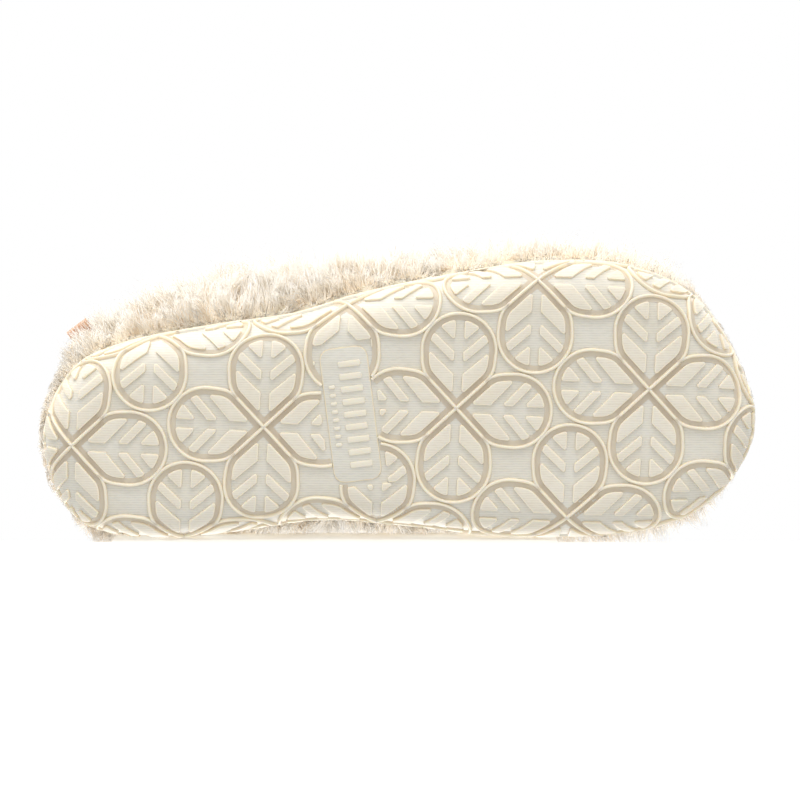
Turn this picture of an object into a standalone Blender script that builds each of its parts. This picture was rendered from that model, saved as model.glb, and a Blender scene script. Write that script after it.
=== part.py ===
"""A fluffy closed-back house slipper for the right foot, as separate pieces.

Sizes are in millimetres and become metres when a mesh is made.
+Z is up, the toe points to -Y and the lateral (little-toe) side is at -X.
The origin is on the ground under the middle of the outsole.
"""

import math

import bmesh
import bpy
import numpy as np

MM = 0.001

# Driving dimensions
AROUND = 56               # stations round the foot
UPWARD = 8                # stations from the feather edge up to the topline
RIM_HEIGHT = 20.0         # top of the outsole's cup
CUP_FLOOR = 5.0           # top of the outsole's floor
GAP = 0.4                 # clearance kept between neighbouring pieces
PILE = 8.0                # fur fabric, backing and pile together
MARGIN_SHARE = 0.15       # share of that thickness where the fabric is tucked into the cup
FEATHER_INSET = 5.2       # inside of the fur fabric, measured in from the outsole's edge
FEATHER_HEIGHT = 21.5
PADDING_DEPTH, PADDING_THICK = 1.6, 2.6
STIFFENER_DEPTH, STIFFENER_THICK = 4.7, 0.8
LINING_DEPTH, LINING_THICK = 6.4, 2.0
TAPE_DEPTH, TAPE_THICK = 0.75, 0.4
BOARD_BOTTOM, BOARD_THICK = 15.2, 1.5
FOOTBED_FOAM_BOTTOM, FOOTBED_FOAM_THICK = 17.1, 3.8
FLEECE_BOTTOM, FLEECE_THICK = 21.3, 6.5

# The foot opening: an egg seen from above, higher at the instep than at the heel
OPENING_MIDDLE = 47.0
OPENING_HALF_LENGTH = 64.0
OPENING_HALF_WIDTH = 44.0
HEEL_TOP, INSTEP_TOP = 62.0, 79.0
CUFF_RADIUS, CUFF_INNER, CUFF_CORE = 10.5, 6.6, 5.6
CUFF_SLIT = math.radians(28)
TOPLINE_REACH = 11.4      # where the upper's layers stop, measured from the middle of the cuff

# Seams, as shares of the way round from the heel's back by the lateral side
LATERAL_SEAM, MEDIAL_SEAM = 15 / 56, 41 / 56
LABEL_AT = 0.052

# The outsole's edge from below its widest level, anticlockwise from the heel's back
OUTLINE = [
    (-3, 131), (-27, 118), (-35.5, 96), (-39, 62), (-40.5, 35), (-46, 8), (-50, -28), (-51.5, -60),
    (-46.5, -91), (-29.5, -116), (10, -131), (36, -119), (48.5, -97), (51, -66), (47.5, -30),
    (41.5, 0), (36.5, 32), (38.3, 70), (37, 100), (26, 123),
]


def smooth_loop(points, count):
    """A closed curve through the points, with count places evenly spaced along it."""
    knots = np.array(points, float)
    fine = []
    for k in range(len(knots)):
        before, start, end, after = (knots[(k + j) % len(knots)] for j in (-1, 0, 1, 2))
        for u in np.linspace(0, 1, 24, endpoint=False):
            fine.append(0.5 * (2 * start + (end - before) * u
                               + (2 * before - 5 * start + 4 * end - after) * u ** 2
                               + (3 * start - before - 3 * end + after) * u ** 3))
    fine = np.array(fine + [fine[0]])
    along = np.concatenate([[0], np.cumsum(np.linalg.norm(np.diff(fine, axis=0), axis=1))])
    wanted = np.linspace(0, along[-1], count, endpoint=False)
    return np.stack([np.interp(wanted, along, fine[:, axis]) for axis in (0, 1)], axis=1)


def outward(loop):
    """Unit normals that point out of an anticlockwise loop."""
    run = np.roll(loop, -1, axis=0) - np.roll(loop, 1, axis=0)
    normal = np.stack([run[:, 1], -run[:, 0]], axis=1)
    return normal / np.linalg.norm(normal, axis=1, keepdims=True)


EDGE = smooth_loop(OUTLINE, 720)
EDGE_OUT = outward(EDGE)


def edge_at(shares, inset=0.0):
    """Places on the outsole's edge, moved in by inset, at shares of the way round."""
    index = np.mod(shares, 1.0) * len(EDGE)
    low = np.floor(index).astype(int) % len(EDGE)
    high = (low + 1) % len(EDGE)
    part = (index - np.floor(index))[:, None]
    out = EDGE_OUT[low] * (1 - part) + EDGE_OUT[high] * part
    return EDGE[low] * (1 - part) + EDGE[high] * part - out * inset, out


def with_height(places, height):
    return np.column_stack([places, np.broadcast_to(height, len(places))])


def common_steps(start, end, count):
    """Both ends, and the common stations between them, so neighbouring layers bend together."""
    stations = np.arange(-count, 2 * count) / count
    clear = 0.4 / count
    between = stations[(stations > start + clear) & (stations < end - clear)]
    return np.concatenate([[start], between, [end]])


def front_weight(shares):
    """1 at the toe, 0 at the heel."""
    return np.sin(np.pi * np.mod(shares, 1.0)) ** 4


def opening_at(shares):
    """The topline: the middle of the cuff at each share of the way round."""
    whole = np.mod(shares, 1.0)
    turn = 2 * np.pi * (whole + 0.075 * np.sin(2 * np.pi * whole))
    rise = (1 - np.cos(turn)) / 2
    narrow = 1 - 0.16 * rise
    return np.column_stack([
        -3 - OPENING_HALF_WIDTH * narrow * np.sin(turn),
        OPENING_MIDDLE + OPENING_HALF_LENGTH * np.cos(turn),
        HEEL_TOP + (INSTEP_TOP - HEEL_TOP) * rise ** 1.5,
    ])


def profile_controls(shares):
    """Four Bezier points that carry the upper from the feather edge to the topline."""
    foot, out = edge_at(shares, FEATHER_INSET)
    out = with_height(out, 0.0)
    low = with_height(foot, FEATHER_HEIGHT)
    high = opening_at(shares)
    front = front_weight(shares)[:, None]
    climb = (high - low)[:, 2:] * np.array([[0, 0, 1.0]])
    across = (low - high) * np.array([[1.0, 1.0, 0]])
    fuller = 6 + 3.5 * np.sin(2 * np.pi * shares)[:, None]
    lower = low + out * (fuller - 1.5 * front) + climb * (0.42 + 0.08 * front)
    upper = high + across * 0.46 * front + out * 5 * (1 - front) - climb * (0.3 - 0.12 * front)
    return low, lower, upper, high


def bezier(controls, ways):
    a, b, c, d = controls
    w = ways[:, None]
    return a * (1 - w) ** 3 + 3 * b * w * (1 - w) ** 2 + 3 * c * w ** 2 * (1 - w) + d * w ** 3


def last_way(controls):
    """How far up each profile the layers reach before they meet the cuff."""
    low, high = np.zeros(len(controls[0])), np.ones(len(controls[0]))
    for _ in range(30):
        middle = (low + high) / 2
        far = np.linalg.norm(bezier(controls, middle) - controls[3], axis=1) > TOPLINE_REACH
        low, high = np.where(far, middle, low), np.where(far, high, middle)
    return low


def upper_rows(shares, heights, depth=0.0):
    """Rows of points on the upper, depth inside it; heights run from 0, feather edge, to 1, topline."""
    step = 0.002
    found = []
    for height in heights:
        sides = []
        for moved in (shares, shares - step, shares + step):
            controls = profile_controls(moved)
            sides.append(bezier(controls, last_way(controls) * height))
        controls = profile_controls(shares)
        reach = last_way(controls)
        above = bezier(controls, reach * min(1.0, height + 0.02))
        below = bezier(controls, reach * max(0.0, height - 0.02))
        normal = np.cross(sides[2] - sides[1], above - below)
        normal /= np.linalg.norm(normal, axis=1, keepdims=True)
        found.append(sides[0] - normal * depth)
    return found


def new_object(name, mesh, material, smooth=True):
    obj = bpy.data.objects.new(name, mesh)
    collection.objects.link(obj)
    mesh.materials.append(material)
    if smooth:
        mesh.shade_smooth()
        mesh.set_sharp_from_angle(angle=math.radians(40))
    return obj


def mesh_of(name, points, faces):
    mesh = bpy.data.meshes.new(name)
    mesh.from_pydata([tuple(p) for p in np.array(points) * MM], [], faces)
    shape = bmesh.new()
    shape.from_mesh(mesh)
    bmesh.ops.recalc_face_normals(shape, faces=shape.faces)
    shape.to_mesh(mesh)
    shape.free()
    return mesh


def stacked_loops(name, loops, material, hollow=False):
    """A solid lofted through closed loops; hollow joins the last loop to the first instead of capping."""
    count = len(loops[0])
    points = np.concatenate(loops)
    faces = []
    pairs = list(zip(range(len(loops) - 1), range(1, len(loops)), strict=True))
    if hollow:
        pairs.append((len(loops) - 1, 0))
    else:
        faces += [tuple(range(count)), tuple((len(loops) - 1) * count + k for k in range(count))]
    for low, high in pairs:
        for k in range(count):
            after = (k + 1) % count
            faces.append((low * count + k, low * count + after, high * count + after, high * count + k))
    return new_object(name, mesh_of(name, points, faces), material)


def sole_solid(name, profile, material):
    """A solid whose loops follow the outsole's edge at (inset, height) pairs."""
    shares = np.arange(AROUND) / AROUND
    return stacked_loops(name, [with_height(edge_at(shares, inset)[0], height) for inset, height in profile], material)


def shell(name, rows, thickness, material, offset, weights=None):
    """An open sheet through rows of points, thickened by Solidify; weights thin it row by row."""
    columns = len(rows[0])
    faces = [(r * columns + c, r * columns + c + 1, (r + 1) * columns + c + 1, (r + 1) * columns + c)
             for r in range(len(rows) - 1) for c in range(columns - 1)]
    mesh = bpy.data.meshes.new(name)
    mesh.from_pydata([tuple(p) for p in np.concatenate(rows) * MM], [], faces)
    obj = new_object(name, mesh, material)
    solid = obj.modifiers.new("Thickness", "SOLIDIFY")
    solid.thickness = thickness * MM
    solid.offset = offset
    if weights is not None:
        group = obj.vertex_groups.new(name="thickness")
        for row, weight in enumerate(weights):
            group.add(list(range(row * columns, (row + 1) * columns)), weight, "REPLACE")
        solid.vertex_group = "thickness"
    return obj


def principled(name, colour, roughness):
    material = bpy.data.materials.new(name)
    material.use_nodes = True
    shader = material.node_tree.nodes["Principled BSDF"]
    shader.inputs["Base Color"].default_value = (*colour, 1)
    shader.inputs["Roughness"].default_value = roughness
    return material


def make_outsole(rubber):
    """The moulded cup sole: a flat tread with well-rounded edges, and a wall round the midsole."""
    outside = [(15, 0), (9.5, 0.9), (5, 3.4), (1.8, 7.6), (0.3, 12.5), (0, RIM_HEIGHT)]
    inside = [(3.3, RIM_HEIGHT), (3.6, 13.5), (6, 8.2), (12, CUP_FLOOR)]
    return sole_solid("outsole", outside + inside, rubber)


def make_underfoot(foam, board, soft_foam, fleece):
    sole_solid("midsole_foam", [(12.3, CUP_FLOOR + GAP), (6.6, 8.6), (4.3, 13.9)], foam)
    board_top = BOARD_BOTTOM + BOARD_THICK
    sole_solid("strobel_board", [(5.7, BOARD_BOTTOM), (5.7, board_top)], board)
    foam_top = FOOTBED_FOAM_BOTTOM + FOOTBED_FOAM_THICK
    sole_solid("footbed_foam", [(5.9, FOOTBED_FOAM_BOTTOM), (5.7, foam_top - 0.8), (6.6, foam_top)], soft_foam)
    fleece_top = FLEECE_BOTTOM + FLEECE_THICK
    sole_solid("footbed_fleece", [(15.4, FLEECE_BOTTOM), (15.2, fleece_top - 3), (17, fleece_top - 0.8),
                                  (21, fleece_top)], fleece)


def make_fur(name, start, end, fur):
    """Fur fabric: tucked into the cup at the bottom, full pile above the rim."""
    shares = common_steps(start, end, AROUND)
    foot = edge_at(shares, FEATHER_INSET)[0]
    tucked = [with_height(foot, BOARD_BOTTOM + 0.2), with_height(foot, RIM_HEIGHT + 0.6)]
    heights = common_steps(0, 1, UPWARD)
    rows = tucked + upper_rows(shares, heights)
    weights = [MARGIN_SHARE, MARGIN_SHARE] + [0.85] + [1] * (len(heights) - 2) + [0.9]
    return shell(name, rows, PILE, fur, 1, weights)


def make_layer(name, start, end, low, high, depth, thick, material):
    """One inner layer of the upper, from its outside depth inwards."""
    shares = common_steps(start, end, AROUND)
    rows = upper_rows(shares, common_steps(low, high, UPWARD), depth)
    return shell(name, rows, thick, material, -1)


def cuff_axes(shares):
    """The cuff's middle with two unit directions across it: down the upper, and outwards."""
    middle = opening_at(shares)
    run = opening_at(shares + 0.003) - opening_at(shares - 0.003)
    run /= np.linalg.norm(run, axis=1, keepdims=True)
    controls = profile_controls(shares)
    down = bezier(controls, last_way(controls)) - middle
    down -= run * (down * run).sum(axis=1, keepdims=True)
    down /= np.linalg.norm(down, axis=1, keepdims=True)
    return middle, down, np.cross(run, down)


def make_cuff(fur, soft_foam):
    """A fur roll round a foam core, slit where it closes over the edge of the upper."""
    shares = np.arange(AROUND) / AROUND
    middle, down, side = cuff_axes(shares)
    outer = np.linspace(CUFF_SLIT, 2 * np.pi - CUFF_SLIT, 12)
    inner = np.linspace(2 * np.pi - CUFF_SLIT, CUFF_SLIT, 8)
    section = [(CUFF_RADIUS, a) for a in outer] + [(CUFF_INNER, a) for a in inner]
    loops = [middle + (down * math.cos(a) + side * math.sin(a)) * r for r, a in section]
    stacked_loops("collar_cuff_fur", loops, fur, hollow=True)
    turns = np.linspace(0, 2 * np.pi, 8, endpoint=False)
    loops = [middle + (down * math.cos(a) + side * math.sin(a)) * CUFF_CORE for a in turns]
    stacked_loops("collar_foam_roll", loops, soft_foam, hollow=True)


def thread_loop(name, places, width, thread):
    """A closed run of thread, square in section, through the places."""
    run = np.roll(places, -1, axis=0) - np.roll(places, 1, axis=0)
    run /= np.linalg.norm(run, axis=1, keepdims=True)
    side = np.cross(run, [0, 0, 1.0])
    side /= np.linalg.norm(side, axis=1, keepdims=True)
    up = np.cross(side, run)
    corners = [(-0.5, -0.5), (0.5, -0.5), (0.5, 0.5), (-0.5, 0.5)]
    stacked_loops(name, [places + (side * x + up * z) * width for x, z in corners], thread, hollow=True)


def make_stitching(thread):
    """Overlock under the strobel board's edge, and the zigzag that closes the cuff."""
    shares = np.arange(96) / 96
    odd = (np.arange(96) % 2)[:, None]
    places = edge_at(shares, 6.2)[0] * (1 - odd) + edge_at(shares, 9.2)[0] * odd
    places = with_height(places, 14.55)
    thread_loop("strobel_stitching", places, 0.6, thread)
    middle, down, side = cuff_axes(shares)
    thread_loop("collar_stitching", middle + down * 8.4 + side * (1.6 - 3.2 * odd), 0.7, thread)


def box_cutter(name, middle, axes, sizes):
    """A box on three unit axes, kept out of the render, for a Boolean."""
    shape = bmesh.new()
    bmesh.ops.create_cube(shape, size=1)
    for vertex in shape.verts:
        vertex.co = (middle + sum(a * s * c for a, s, c in zip(axes, sizes, vertex.co, strict=True))) * MM
    mesh = bpy.data.meshes.new(name)
    shape.normal_update()
    bmesh.ops.recalc_face_normals(shape, faces=shape.faces)
    shape.to_mesh(mesh)
    shape.free()
    obj = bpy.data.objects.new(name, mesh)
    cutters.objects.link(obj)
    obj.hide_render = True
    obj.display_type = "WIRE"
    return obj


def make_label(ribbon, thread, quarter):
    """A folded ribbon tab that comes out of the fur just under the cuff."""
    share = np.array([LABEL_AT])
    root = upper_rows(share, [0.72])[0][0]
    out = with_height(edge_at(share)[1], 0.0)[0]
    along = np.array([-out[1], out[0], 0.0])
    up = np.array([0.0, 0.0, 1.0])
    half_width, ply, fold, reach = 4.5, 0.7, 1.0, PILE + 7.5
    turns = np.linspace(-math.pi / 2, math.pi / 2, 7)
    outer = [(0.6, -fold - ply)] + [(reach - fold + (fold + ply) * math.cos(a), (fold + ply) * math.sin(a))
                                    for a in turns] + [(0.6, fold + ply)]
    inner = [(0.6, fold)] + [(reach - fold + fold * math.cos(a), fold * math.sin(a))
                             for a in turns[::-1]] + [(0.6, -fold)]
    loops = [[root + out * x + up * z + along * side * half_width for x, z in outer + inner] for side in (-1, 1)]
    stacked_loops("label_tab", [np.array(loop) for loop in loops], ribbon)
    slot = box_cutter("label_slot", root + out * 8, (out, along, up), (20, 2 * half_width + 1, 2 * (fold + ply) + 0.8))
    cut = quarter.modifiers.new("Label slot", "BOOLEAN")
    cut.object = slot
    cut.operation = "DIFFERENCE"
    foot = root + out * 2.4
    tack = [np.array([foot + along * side * 3.2 + out * x + up * z for x, z in
                      ((-0.5, -0.4), (0.5, -0.4), (0.5, 0.4), (-0.5, 0.4))]) for side in (-1, 1)]
    stacked_loops("label_bartack", tack, thread)


for old in list(bpy.data.objects):
    bpy.data.objects.remove(old)
collection = bpy.data.collections.new("fluffy_slipper")
cutters = bpy.data.collections.new("cutters")
bpy.context.scene.collection.children.link(collection)
bpy.context.scene.collection.children.link(cutters)

rubber = principled("ivory rubber", (0.82, 0.78, 0.68), 0.6)
fur = principled("ivory faux fur", (0.88, 0.82, 0.70), 1.0)
fleece = principled("cream fleece", (0.90, 0.85, 0.75), 1.0)
foam = principled("white EVA foam", (0.85, 0.85, 0.83), 0.8)
soft_foam = principled("memory foam", (0.86, 0.84, 0.70), 0.9)
board = principled("fibre board", (0.72, 0.66, 0.55), 0.9)
stiffener = principled("thermoplastic sheet", (0.78, 0.76, 0.72), 0.7)
ribbon = principled("woven ribbon", (0.86, 0.80, 0.72), 0.8)
thread = principled("sewing thread", (0.80, 0.72, 0.60), 0.8)

make_outsole(rubber)
make_underfoot(foam, board, soft_foam, fleece)

seam = 0.0008             # half the gap at a seam, as a share of the way round
butt = 0.0016             # the same where padding and lining meet edge to edge
make_fur("vamp_fur", LATERAL_SEAM + seam, MEDIAL_SEAM - seam, fur)
lateral_quarter = make_fur("quarter_fur_lateral", seam, LATERAL_SEAM - seam, fur)
make_fur("quarter_fur_medial", MEDIAL_SEAM + seam, 1 - seam, fur)

padding = (0.01, 1, PADDING_DEPTH, PADDING_THICK, soft_foam)
make_layer("vamp_padding", LATERAL_SEAM + butt, MEDIAL_SEAM - butt, *padding)
make_layer("quarter_padding_lateral", butt, LATERAL_SEAM - butt, *padding)
make_layer("quarter_padding_medial", MEDIAL_SEAM + butt, 1 - butt, *padding)

stiff = (STIFFENER_DEPTH, STIFFENER_THICK, stiffener)
make_layer("toe_puff", 21 / 56, 35 / 56, 0.02, 0.42, *stiff)
make_layer("heel_counter", -8 / 56, 8 / 56, 0.02, 0.8, *stiff)

lining = (0.01, 1, LINING_DEPTH, LINING_THICK, fleece)
make_layer("vamp_lining", LATERAL_SEAM + butt, MEDIAL_SEAM - butt, *lining)
make_layer("heel_lining", MEDIAL_SEAM - 1 + butt, LATERAL_SEAM - butt, *lining)

for name, at in (("seam_tape_lateral", LATERAL_SEAM), ("seam_tape_medial", MEDIAL_SEAM), ("back_seam_tape", 0.0)):
    make_layer(name, at - 0.006, at + 0.006, 0.03, 0.97, TAPE_DEPTH, TAPE_THICK, ribbon)

make_cuff(fur, soft_foam)
make_stitching(thread)
make_label(ribbon, thread, lateral_quarter)
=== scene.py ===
import math

import bpy
import numpy as np
from mathutils import Matrix, Vector
from mathutils.kdtree import KDTree


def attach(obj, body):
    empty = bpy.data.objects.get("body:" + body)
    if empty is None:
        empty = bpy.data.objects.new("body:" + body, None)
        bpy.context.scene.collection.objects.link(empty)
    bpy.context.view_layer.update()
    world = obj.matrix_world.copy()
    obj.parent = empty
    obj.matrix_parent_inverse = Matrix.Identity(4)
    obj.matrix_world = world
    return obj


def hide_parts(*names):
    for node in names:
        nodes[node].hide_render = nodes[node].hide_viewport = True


mm = 0.001


# Small tools

def toLinear(hexColour):
    # sRGB hex to the linear colour that shaders use
    parts = [int(hexColour[k:k + 2], 16) / 255 for k in (1, 3, 5)]
    return tuple(c / 12.92 if c <= 0.04045 else ((c + 0.055) / 1.055) ** 2.4 for c in parts) + (1.0,)


def addNode(tree, kind, settings=None, links=None):
    # settings name an input socket or a property; links give an input socket its source
    node = tree.nodes.new(kind)
    for key, value in (settings or {}).items():
        if isinstance(key, int) or key in node.inputs:
            node.inputs[key].default_value = value
        else:
            setattr(node, key, value)
    for key, source in (links or {}).items():
        tree.links.new(source, node.inputs[key])
    return node


def newMaterial(name):
    material = bpy.data.materials.new(name)
    material.use_nodes = True
    return material, material.node_tree, material.node_tree.nodes["Principled BSDF"]


def colourBand(tree, source, stops):
    # a colour ramp from (place, hex) stops
    ramp = addNode(tree, "ShaderNodeValToRGB", links={"Fac": source})
    while len(ramp.color_ramp.elements) < len(stops):
        ramp.color_ramp.elements.new(0.5)
    for element, (place, hexColour) in zip(ramp.color_ramp.elements, stops, strict=True):
        element.position = place
        element.color = toLinear(hexColour)
    return ramp.outputs["Color"]


def finish(tree, shader, colour, roughness, height=None, strength=0.0, depth=0.0):
    # joins a colour and, where there is one, a bump to the shader
    tree.links.new(colour, shader.inputs["Base Color"])
    shader.inputs["Roughness"].default_value = roughness
    if height is not None:
        bump = addNode(tree, "ShaderNodeBump", {"Strength": strength, "Distance": depth}, {"Height": height})
        tree.links.new(bump.outputs[0], shader.inputs["Normal"])


def lightInside(shader, weight, radius, scale):
    # light that scatters under the surface, its scale in metres
    shader.inputs["Subsurface Weight"].default_value = weight
    shader.inputs["Subsurface Radius"].default_value = radius
    shader.inputs["Subsurface Scale"].default_value = scale


def multiplied(tree, first, second, share):
    mixed = addNode(tree, "ShaderNodeMix", {"data_type": "RGBA", "blend_type": "MULTIPLY", "Factor": share})
    tree.links.new(first, mixed.inputs["A"])
    tree.links.new(second, mixed.inputs["B"])
    return mixed.outputs["Result"]


def bandScale(spacing):
    # a wave texture's scale for bands this many mm apart
    return math.pi / (10 * spacing * mm)


def grainScale(size):
    # a noise or cell texture's scale for grains this many mm across
    return 1 / (size * mm)


def selectOnly(obj):
    bpy.ops.object.select_all(action="DESELECT")
    obj.select_set(True)
    bpy.context.view_layer.objects.active = obj


def meshObject(name, points, faces, materials):
    mesh = bpy.data.meshes.new(name)
    mesh.from_pydata([tuple(p) for p in points], [], faces)
    obj = bpy.data.objects.new(name, mesh)
    bpy.context.scene.collection.objects.link(obj)
    for material in materials:
        mesh.materials.append(material)
    return obj


def storeValues(mesh, name, values):
    layer = mesh.attributes.new(name, "FLOAT", "POINT")
    layer.data.foreach_set("value", np.asarray(values, np.float32))


def bendThrough(before, start, end, after, steps):
    # places on a smooth curve from start towards end, given the knots on either side
    return [0.5 * (2 * start + (end - before) * u
                   + (2 * before - 5 * start + 4 * end - after) * u ** 2
                   + (3 * start - before - 3 * end + after) * u ** 3)
            for u in np.linspace(0, 1, steps, endpoint=False)]


def ringFaces(row, after, count):
    # the faces between two rings of points, from their numbers
    return [(row * count + k, row * count + (k + 1) % count,
             after * count + (k + 1) % count, after * count + k) for k in range(count)]


def lengthAlong(path):
    return np.concatenate([[0], np.cumsum(np.linalg.norm(np.diff(path, axis=0), axis=1))])


print("frame: loading the packed slipper")
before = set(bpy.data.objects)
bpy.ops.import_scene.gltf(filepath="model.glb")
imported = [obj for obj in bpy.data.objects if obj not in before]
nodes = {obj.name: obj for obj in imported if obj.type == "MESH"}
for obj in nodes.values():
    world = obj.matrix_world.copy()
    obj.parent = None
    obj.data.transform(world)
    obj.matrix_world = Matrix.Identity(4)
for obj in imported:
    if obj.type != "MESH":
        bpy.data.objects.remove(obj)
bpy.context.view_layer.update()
bpy.ops.object.select_all(action="DESELECT")


# Camera, lights and floors

shot = {
    "lens": 120.0,
    "sensor": 36.0,
    "frameWidth": 0.2893,      # how much of the tread's plane the view spans
    "roll": math.radians(5.0),
    "lift": math.radians(5.0),  # the camera's angle above straight out from the tread
    "aim": (0.0007, 0.0068),   # the view's middle from the outsole's, right and up
}


def setCamera():
    # looks up at the tread, toe to the right and the outer side up
    right = Vector((math.sin(shot["roll"]), -math.cos(shot["roll"]), 0))
    rise = Vector((-math.cos(shot["roll"]), -math.sin(shot["roll"]), 0))
    back = (Vector((0, 0, -1)) * math.cos(shot["lift"]) + rise * math.sin(shot["lift"])).normalized()
    up = back.cross(right)
    target = right * shot["aim"][0] + rise * shot["aim"][1]
    camera = bpy.data.objects.new("camera", bpy.data.cameras.new("camera"))
    bpy.context.scene.collection.objects.link(camera)
    camera.data.lens = shot["lens"]
    camera.data.sensor_width = shot["sensor"]
    camera.data.clip_start = 0.01
    place = target + back * (shot["frameWidth"] * shot["lens"] / shot["sensor"])
    turn = Matrix((right, up, back)).transposed()
    camera.matrix_world = Matrix.Translation(place) @ turn.to_4x4()
    bpy.context.scene.camera = camera
    return rise


lights = {
    # place, aim and size in metres, watts, colour
    "topSoftbox": ((-1.2, -0.2, -0.45), (0, 0, 0.02), 0.5, 6, "#fffaf4"),
    "frontSoftbox": ((-0.3, 0.2, -1.4), (0, 0, 0), 0.8, 0.8, "#ffffff"),
    "sideSoftbox": ((-1.0, 0.5, 0.25), (0, 0.04, 0.04), 0.8, 8, "#fff9f1"),
    "standingKey": ((-0.5, -1.0, 1.3), (0, 0, 0.04), 0.8, 7.5, "#fffaf4"),
    "standingFill": ((1.1, 0.3, 0.9), (0, 0, 0.04), 0.9, 15, "#fffaf4"),
}


def addLight(name, place, aim, size, power, colour):
    light = bpy.data.objects.new(name, bpy.data.lights.new(name, "AREA"))
    bpy.context.scene.collection.objects.link(light)
    light.data.shape = "DISK"
    light.data.size = size
    light.data.energy = power
    light.data.color = toLinear(colour)[:3]
    light.visible_camera = False
    light.location = place
    light.rotation_euler = (Vector(aim) - Vector(place)).to_track_quat("-Z", "Y").to_euler()


def oneSidedPaper(name, hexColour):
    # matt paper seen from its front only, which neither blocks nor bounces any other light
    material, tree, shader = newMaterial(name)
    shader.inputs["Base Color"].default_value = toLinear(hexColour)
    shader.inputs["Roughness"].default_value = 0.9
    shader.inputs["Specular IOR Level"].default_value = 0.1
    path = addNode(tree, "ShaderNodeLightPath")
    side = addNode(tree, "ShaderNodeNewGeometry")
    front = addNode(tree, "ShaderNodeMath", {"operation": "SUBTRACT", "use_clamp": True},
                    {0: path.outputs["Is Camera Ray"], 1: side.outputs["Backfacing"]})
    clear = addNode(tree, "ShaderNodeBsdfTransparent")
    mix = addNode(tree, "ShaderNodeMixShader",
                  links={0: front.outputs[0], 1: clear.outputs[0], 2: shader.outputs[0]})
    tree.links.new(mix.outputs[0], tree.nodes["Material Output"].inputs["Surface"])
    return material


stage = {
    "groundSize": 2.2,
    "groundDrop": 0.0004,      # below the sole, so that the two never share a plane
    "sheetBelow": 0.0448,      # the upright sheet's distance from the outsole's middle
    "sheetSize": (4.0, 1.2),   # along the slipper, and down from the ground
    "sheetGap": 0.001,
    "waistHeight": 0.024,
    "waistEnds": (-0.058, 0.104),   # along the slipper, from the outsole's middle
}


def paperPlane(name, material, matrix):
    bpy.ops.mesh.primitive_plane_add(size=1)
    paper = bpy.context.object
    paper.name = name
    paper.data.materials.append(material)
    paper.data.transform(matrix)
    return paper


def addStage(rise):
    # the ground under the standing slipper
    under = Matrix.Translation((0, 0, -stage["groundDrop"])) @ Matrix.Scale(stage["groundSize"], 4)
    ground = paperPlane("groundPaper", oneSidedPaper("pale paper ground", "#fbfbfa"), under)
    # the upright sheet that the slipper's inner side lies against, which ends at the ground
    white = oneSidedPaper("white paper sheet", "#fdfdfd")
    along = rise.cross(Vector((0, 0, 1)))
    turn = Matrix((along, rise.cross(along), rise)).transposed().to_4x4()
    long, deep = stage["sheetSize"]
    foot = -rise * stage["sheetBelow"] - Vector((0, 0, stage["sheetGap"]))
    sheet = paperPlane("sidePaper", white, Matrix.Translation(foot - Vector((0, 0, deep / 2)))
                       @ turn @ Matrix.Diagonal((long, deep, 1, 1)))
    # the same sheet beside the waist, low enough to stay out of sight behind the slipper
    start, end = stage["waistEnds"]
    high = stage["waistHeight"]
    middle = foot + Vector((0, 0, high / 2)) + along * (start + end) / 2
    waist = paperPlane("waistPaper", white, Matrix.Translation(middle)
                       @ turn @ Matrix.Diagonal((end - start, high, 1, 1)))


def addWorld(strength, colour):
    # even studio light, seen as pure white behind the slipper
    world = bpy.data.worlds.new("studio")
    bpy.context.scene.world = world
    world.use_nodes = True
    sky = world.node_tree
    seen = addNode(sky, "ShaderNodeLightPath").outputs["Is Camera Ray"]
    level = addNode(sky, "ShaderNodeMapRange", {"To Min": strength, "To Max": 1.0}, {"Value": seen})
    tint = addNode(sky, "ShaderNodeMix", {"data_type": "RGBA", "A": toLinear(colour), "B": (1, 1, 1, 1)},
                   {"Factor": seen})
    sky.links.new(level.outputs["Result"], sky.nodes["Background"].inputs["Strength"])
    sky.links.new(tint.outputs["Result"], sky.nodes["Background"].inputs["Color"])


print("camera, lights and paper")
addStage(setCamera())
for name, (place, aim, size, power, colour) in lights.items():
    addLight(name, place, aim, size, power, colour)
addWorld(0.82, "#fffefb")
bpy.context.scene.view_settings.view_transform = "Standard"


# Rubber outsole

sole = {
    # all in mm; an inset is measured inwards from the outsole's widest outline
    "outlineLevel": 12.5,      # where the outline is read off the frame
    "insetThere": 0.3,
    "edgeSteps": 1440,         # places along the outline
    "edgeReach": 8,            # how many of them a normal looks ahead and back
    "profile": [(20.5, 0), (15, 0), (9.5, 0.9), (5, 3.4), (1.8, 7.6), (0.3, 12.5), (0, 17.6), (0, 22)],
    "recess": 1.25,            # depth of the tread
    "rollSteps": 26,
    "rimStart": 17.7,
    "rimTop": 20.4,
    "wall": 3.3,
    "innerCorner": [(6, 8.2), (12, 5.0)],
    "around": 400,
}


def edgeLoop():
    # the outsole's widest outline, read off the frame, with its outward normals
    places = {(round(v.co.x / mm, 2), round(v.co.y / mm, 2)) for v in nodes["outsole"].data.vertices
              if abs(v.co.z / mm - sole["outlineLevel"]) < 0.1}
    knots = np.array(sorted(places, key=lambda p: math.atan2(p[1], p[0])))
    fine = []
    for k in range(len(knots)):
        fine += bendThrough(*(knots[(k + j) % len(knots)] for j in (-1, 0, 1, 2)), 20)
    fine = np.array(fine + [fine[0]])
    along = lengthAlong(fine)
    wanted = np.linspace(0, along[-1], sole["edgeSteps"], endpoint=False)
    loop = np.stack([np.interp(wanted, along, fine[:, axis]) for axis in (0, 1)], axis=1)
    reach = sole["edgeReach"]
    run = np.roll(loop, -reach, axis=0) - np.roll(loop, reach, axis=0)
    out = np.stack([run[:, 1], -run[:, 0]], axis=1)
    out /= np.linalg.norm(out, axis=1, keepdims=True)
    return loop + out * sole["insetThere"], out


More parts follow.
